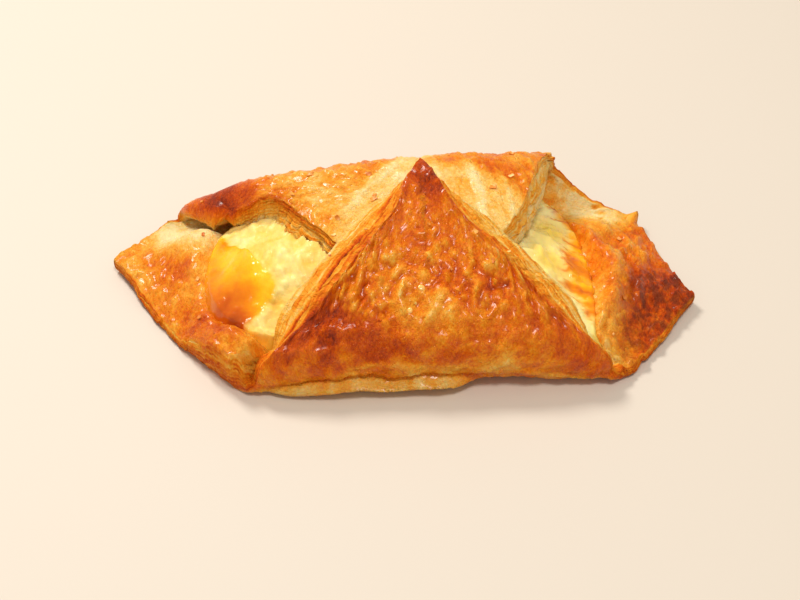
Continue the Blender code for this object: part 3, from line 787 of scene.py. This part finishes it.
custard = {
    "cells": (280, 170),
    "centre": np.array([0.0, -6.0]),
    "reach": (5.0, 66.0),  # its rim lies this far out
    "halvings": 16,  # steps in the search for the rim
    "wallGap": 8.0,  # between the fold lines and the custard
    "overPool": 2.2,  # how far it runs over the pool's edge
    "bottom": 5.6,
    "leastDeep": 0.6,
    "roofGap": 0.3,  # below the flaps
    "lookFrom": 9.8,  # height from which the flaps are looked for
    "skinRise": 0.9,
    # heights in mm, then their middle, half sides, turn and softness
    "fingers": [(3.8, -38, 9, 8, 5), (2.0, -27, 1, 6, 6), (2.6, -33, 6, 2.8, 8, 14, 1.4),
                (2.2, -26, -2, 2.6, 8, 22, 1.4), (-4.0, -28.5, 6, 2.6, 8, 18)],
    "swellings": [(1.5, -45, -14, 8, 15, -15, 1.5), (0.7, -42, -27, 3.5, 6)],
    "rightMound": [(1.2, 41, -2, 6, 9)],
    # browned and yellow places: how strong, then as above
    "brownPatches": [(0.25, -50, 3, 4, 3), (0.22, -52, -8, 3, 14), (0.22, -42, -31, 4, 4),
                     (0.14, -40, -21, 3, 3), (0.22, -44, -26, 5, 7)],
    "yellowPatches": [(0.8, 42, -3, 8, 6, -30), (0.8, 42, 13, 6, 7)],
    # painted shade in the hollow below the back flap's arch: its middle, half sides and turn
    "hollowShadePatch": (-28, 6, 4, 9, 18),
    "redSpot": [(0.75, 41.5, 23, 1.8, 4.5, -25, 1.5)],
    "creamColours": [(0.10, (232, 156, 40)), (0.32, (244, 200, 88)), (0.55, (248, 220, 128)),
                     (0.80, (248, 230, 158)), (1.00, (255, 244, 170))],
    "filmColours": [(0.0, (250, 206, 50)), (0.22, (250, 184, 14)), (0.45, (240, 142, 4)),
                    (0.70, (206, 92, 4)), (1.0, (136, 46, 8))],
}


def custardRim(xy):  # distance outside the room between the folds and the side panels
    front = (xy - frontFold.left) @ frontFold.outward
    back = (xy - backFold.left) @ backFold.outward
    return np.maximum(poolEdge(xy) - custard["overPool"], np.maximum(front, back) + custard["wallGap"])


def skinPatch(x, y):  # the browned, glossy skin in the left pocket, 0 or 1
    wave = 2.2 * (cloud(x, y, 6, 521, 3) - 0.5)
    torn = 2.4 * (cloud(x, y, 3.2, 525, 3) - 0.5)
    left = ramp((x + 56.5 - 0.10 * np.abs(y + 6) - 0.006 * (y + 6) ** 2 + 0.25 * wave) / 0.7)
    top = ramp((5.5 - 0.62 * (x + 51) - y + wave * 0.5) / 0.9)
    right = ramp((-31.4 - 0.65 * np.abs(y + 20) ** 1.05 - x + wave + torn) / 1.8)
    bottom = ramp(y + 34.5 - 0.75 * (x + 43) + 0.3 * wave)
    return left * top * right * bottom


def custardHeight(xy, skin):
    x, y = xy[:, 0], xy[:, 1]
    inside = -poolEdge(xy)
    rise = 10.0 + 11.5 * ramp((inside + 3.0) / 28) ** 0.95 + 1.6 * np.minimum(inside, 0)
    soft = 1.8 * (cloud(x, y, 10, 501, 3) - 0.5) + 1.1 * (cloud(x, y, 3.2, 505, 3) - 0.5)
    folds = 1.1 * ridges(x * 0.9 + y * 0.4, y * 0.45 - x * 0.2, 5.5, 511)
    right = ramp((x - 30) / 6)
    puckers = 1.7 * ridges(x * 0.6 + 0.3 * y, y, 5.0, 515) - 0.5 + patches(custard["rightMound"], x, y)
    curds = 0.5 * bubbles(x, y, 3.6, 561, 0.9) + 0.2 * bubbles(x, y, 1.7, 571, 0.8)
    relief = soft + folds + curds * (1 - right * 0.6) + right * puckers
    swelling = custard["skinRise"] + patches(custard["swellings"], x, y)
    return rise + relief * (1 - 0.6 * skin) + patches(custard["fingers"], x, y) + skin * swelling, relief


def paintCustard(mesh, xy, skin, relief):
    x, y = xy[:, 0], xy[:, 1]
    streak = ridges(x * 0.22 - y * 0.1, y + 0.25 * x, 3.0, 535)
    border = ramp((poolEdge(xy) + 1.6 + 2.0 * (cloud(x, y, 4, 551) - 0.5)) / 2.4)
    filmEdge = 43.2 + 0.75 * np.maximum(-8 - y, 0) - 0.5 * np.maximum(y - 16, 0)
    torn = 5.0 * (cloud(x, y, 6, 531) - 0.5) + 7.0 * (streak - 0.4)
    film = ramp((x - filmEdge + torn) / 6) * ramp((x - 36) / 6)
    yellow = ramp((x - 32) / 6) * patches(custard["yellowPatches"], x, y)
    # painted shade: the hollow is painted browner and towards the film colours, as if in shadow
    hollowShade = spot(x, y, *custard["hollowShadePatch"])
    skinBrown = (0.10 + 0.40 * ramp((-6 - y) / 20) + patches(custard["brownPatches"], x, y)
                 + 0.35 * (cloud(x, y, 6, 541) - 0.5) - 0.24 * ramp((x + 44) / 8))
    browned = (skin * skinBrown + 0.35 * hollowShade + 0.25 * border * (1 - skin) * (x < 30)
               + film * (0.34 + 0.6 * (streak - 0.35)) + patches(custard["redSpot"], x, y))
    covered = np.max([skin, film, yellow, 0.45 * hollowShade, 0.8 * border], axis=0)
    # painted shade and light: hollows of the relief are painted deeper yellow and tops paler, and the right
    # pocket, which the key light leaves in shade, is painted brighter
    curd = 0.5 + 0.18 * (relief - np.mean(relief)) + 0.42 * ramp((x - 28) / 6)
    for name, values in (("skin", covered), ("browned", browned), ("curd", curd)):
        paint(mesh, name, np.clip(values, 0, 1))


def buildCustard(sheet, material):
    across, back = custard["cells"]
    deselect()
    bpy.ops.mesh.primitive_grid_add(x_subdivisions=across, y_subdivisions=back, size=2)
    body = keepAs("custardBody", material)
    mesh = body.data
    enter("EDIT")
    bpy.ops.mesh.select_all(action="SELECT")
    bpy.ops.mesh.extrude_region_move(TRANSFORM_OT_translate={"value": (0, 0, 1)})
    bpy.ops.mesh.select_all(action="SELECT")
    bpy.ops.mesh.normals_make_consistent(inside=False)
    enter("OBJECT")

    # the square grid is drawn out to the rim in every direction
    co = coordinates(mesh)
    upper = co[:, 2] > 0.5
    share = np.maximum(np.abs(co[:, 0]), np.abs(co[:, 1]))
    angle = np.arctan2(co[:, 1], co[:, 0])
    heading = np.stack([np.cos(angle), np.sin(angle)], 1)
    near, far = [np.full(len(co), reach) for reach in custard["reach"]]
    for _ in range(custard["halvings"]):
        middle = (near + far) / 2
        out = custardRim(custard["centre"] + heading * middle[:, None]) > 0
        near, far = np.where(out, near, middle), np.where(out, middle, far)
    xy = custard["centre"] + heading * (share * near)[:, None]
    skin = skinPatch(xy[:, 0], xy[:, 1])
    top, relief = custardHeight(xy, skin)

    # and kept below the flaps
    tree = surfaceTree(sheet)
    for index in np.nonzero(upper)[0]:
        start = Vector((*(xy[index] + frameShift), custard["lookFrom"])) * mm
        place, normal, _, _ = tree.ray_cast(start, Vector((0, 0, 1)))
        if place is not None and normal.z < 0:
            top[index] = min(top[index], place.z / mm - custard["roofGap"])
    z = np.where(upper, np.maximum(top, custard["bottom"] + custard["leastDeep"]), custard["bottom"])
    mesh.vertices.foreach_set("co", (np.column_stack([xy + frameShift, z]) * mm).ravel())
    paintCustard(mesh, xy, skin, relief)
    return finishPiece(body, 60)


def custardMaterial():
    shader = Shader("bakedCustard")
    where = shader.node("ShaderNodeTexCoord").outputs["Object"]
    skin, browned = shader.attribute("skin"), shader.attribute("browned")
    soft = shader.noise(where, 160.0, 3.0)
    fine = shader.noise(where, 900.0)
    grain = shader.noise(where, 420.0, 3.0, 0.6)
    # the cream's painted light and shade, with random tone from the noise
    curd = shader.attribute("curd") + (soft - 0.5) * 0.8
    cream = shader.colours(custard["creamColours"], curd.clamp())
    film = shader.colours(custard["filmColours"], (browned + (soft - 0.5) * 0.25).clamp())
    shader.setAll({
        "Base Color": shader.mix(skin, cream, film),
        "Roughness": (0.42 - skin * 0.26 + (fine - 0.5) * 0.1).clamp(),
        "Coat Weight": (skin * 0.32 + 0.05).clamp(),
        "Coat Roughness": 0.08, "Specular IOR Level": 0.3, "Specular Tint": (1.0, 0.86, 0.6, 1.0),
        "Subsurface Weight": 0.25, "Subsurface Radius": (1.0, 0.6, 0.2), "Subsurface Scale": 0.003})
    shader.bump((soft + grain * 0.5) * (1 - skin * 0.75) + fine * 0.12, 0.6, 0.001)
    return shader.material


# Beads of glaze on the front flap and loose flakes on the crust

crumbs = {
    "beads": [(7.5, -25.5, 0.9), (4.8, -31.0, 0.75), (6.2, -29.0, 0.4)],  # place and radius
    "beadShape": (1.0, 1.15, 0.5),
    "beadColour": (255, 196, 110),
    "flakes": 34,
    "flakeSize": (0.7, 1.9),
    "flakeThickness": 0.16,
    "flakeLift": 0.05,
    "flakeRoom": ((-70, 70), (-34, 30)),
    "dropFrom": 80.0,
    "steepest": 0.35,  # least upward share of the surface's normal
    "leastOverPool": 26.0,  # least height of a flake over the pockets
    "flakeColours": [(0.35, (205, 98, 20)), (0.50, (238, 150, 52)), (0.65, (252, 200, 118))],
    "seed": 8,
}


def dropOnto(tree, x, y):  # the surface below a point, in metres
    start = Vector((x + frameShift[0], y + frameShift[1], crumbs["dropFrom"])) * mm
    place, normal, _, _ = tree.ray_cast(start, Vector((0, 0, -1)))
    return place, normal


def layOn(piece, place, normal, turn=0.0):  # stands it on the surface
    piece.rotation_euler = normal.to_track_quat("Z", "Y").to_euler()
    piece.rotation_euler.rotate_axis("Z", turn)
    piece.location = place
    applyTransform()


def buildBeads(sheet, material):
    tree = surfaceTree(sheet)
    made = []
    for x, y, radius in crumbs["beads"]:
        place, normal = dropOnto(tree, x, y)
        deselect()
        bpy.ops.mesh.primitive_uv_sphere_add(segments=24, ring_count=14, radius=radius * mm, location=(0, 0, 0))
        bead = bpy.context.object
        bead.scale = crumbs["beadShape"]
        layOn(bead, place, normal)
        made.append(bead)
    return joinAll(made, "glazeBeads", material)


def buildFlakes(sheet, material):
    tree = surfaceTree(sheet)
    dice = np.random.default_rng(crumbs["seed"])
    made = []
    while len(made) < crumbs["flakes"]:
        x, y = [dice.uniform(*room) for room in crumbs["flakeRoom"]]
        place, normal = dropOnto(tree, x, y)
        if place is None or normal.z < crumbs["steepest"]:
            continue
        if poolEdge(np.array([[x, y]]))[0] < 1 and place.z < crumbs["leastOverPool"] * mm:
            continue  # it would lie on the custard
        size = dice.uniform(*crumbs["flakeSize"])
        deselect()
        bpy.ops.mesh.primitive_grid_add(x_subdivisions=5, y_subdivisions=4, size=1)
        flake = bpy.context.object
        co = coordinates(flake.data)
        u, v = co[:, 0], co[:, 1]
        grow = 1 + 0.5 * (noise(u * 3 + size * 9, v * 3, 1.0, 601) - 0.5)
        curl = 0.35 * u * u + 0.2 * v * v + 0.12 * noise(u * 4, v * 4 + size, 1.0, 603)
        shape = np.column_stack([u * grow * (1 - 0.3 * v * v), v * grow * 0.65, curl]) * size * mm
        flake.data.vertices.foreach_set("co", shape.ravel())
        thicken(flake, crumbs["flakeThickness"] * mm, 0.0)
        layOn(flake, place + normal * crumbs["flakeLift"] * mm, normal, dice.uniform(0, 6.28))
        made.append(flake)
    return joinAll(made, "looseFlakes", material)


def joinAll(pieces, name, material):
    choose(*pieces)
    bpy.ops.object.join()
    return finishPiece(keepAs(name, material), 60)


def beadMaterial():
    shader = Shader("glazeBead")
    shader.setAll({"Base Color": fourOf(crumbs["beadColour"]), "Roughness": 0.12,
                   "Subsurface Weight": 0.4, "Subsurface Scale": 0.001})
    return shader.material


def flakeMaterial():
    shader = Shader("looseFlake")
    where = shader.node("ShaderNodeTexCoord").outputs["Object"]
    colour = shader.colours(crumbs["flakeColours"], shader.noise(where, 110.0))
    shader.setAll({"Base Color": colour, "Roughness": 0.4})
    return shader.material


sheetPiece = buildDough(doughMaterial())
custardPiece = buildCustard(sheetPiece, custardMaterial())
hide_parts("pastry")
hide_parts("custard_filling")
beads, flakes = buildBeads(sheetPiece, beadMaterial()), buildFlakes(sheetPiece, flakeMaterial())
for piece in (sheetPiece, custardPiece, beads, flakes):
    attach(piece, "root")


# Floor, light and camera

studio = {
    "floorSize": 6.0,
    "floorColour": (218, 209, 197),
    "worldColour": (1.0, 0.92, 0.80),
    "worldStrength": 0.47,
    "lights": {  # place, target, size, power and colour
        "keyLight": ((-0.42, 0.45, 0.77), (0, 0, 0.01), 0.26, 6.4, (1.0, 0.94, 0.86)),
        "topLight": ((0.12, -0.30, 0.95), (0.02, 0, 0.01), 0.22, 4.1, (1.0, 0.95, 0.90)),
    },
    "camera": (0.02496, -0.32292, 0.30825),
    "cameraTurn": (46.306, 0.0, 4.425),
    "lens": 70.0,
}


def addObject(name, data, place, turn):
    made = bpy.data.objects.new(name, data)
    made.location, made.rotation_euler = place, turn
    bpy.context.scene.collection.objects.link(made)
    return made


def addLight(name, place, target, size, power, colour):
    light = bpy.data.lights.new(name, "AREA")
    light.shape, light.size, light.energy, light.color = "DISK", size, power, colour
    addObject(name, light, place, (Vector(target) - Vector(place)).to_track_quat("-Z", "Y").to_euler())


def buildStudio():
    deselect()
    bpy.ops.mesh.primitive_plane_add(size=studio["floorSize"], location=(0, 0, 0))
    floor = Shader("studioFloor")
    floor.setAll({"Base Color": fourOf(studio["floorColour"]), "Roughness": 0.6})
    keepAs("studioFloor", floor.material)
    world = bpy.data.worlds.new("studio")
    world.use_nodes = True
    background = world.node_tree.nodes["Background"]
    background.inputs["Color"].default_value = (*studio["worldColour"], 1.0)
    background.inputs["Strength"].default_value = studio["worldStrength"]
    bpy.context.scene.world = world
    for name, settings in studio["lights"].items():
        addLight(name, *settings)
    lens = bpy.data.cameras.new("camera")
    lens.lens = studio["lens"]
    turn = [math.radians(angle) for angle in studio["cameraTurn"]]
    bpy.context.scene.camera = addObject("camera", lens, studio["camera"], turn)
    bpy.context.scene.view_settings.view_transform = "Standard"
    print("studio", len(studio["lights"]), "lights")


buildStudio()
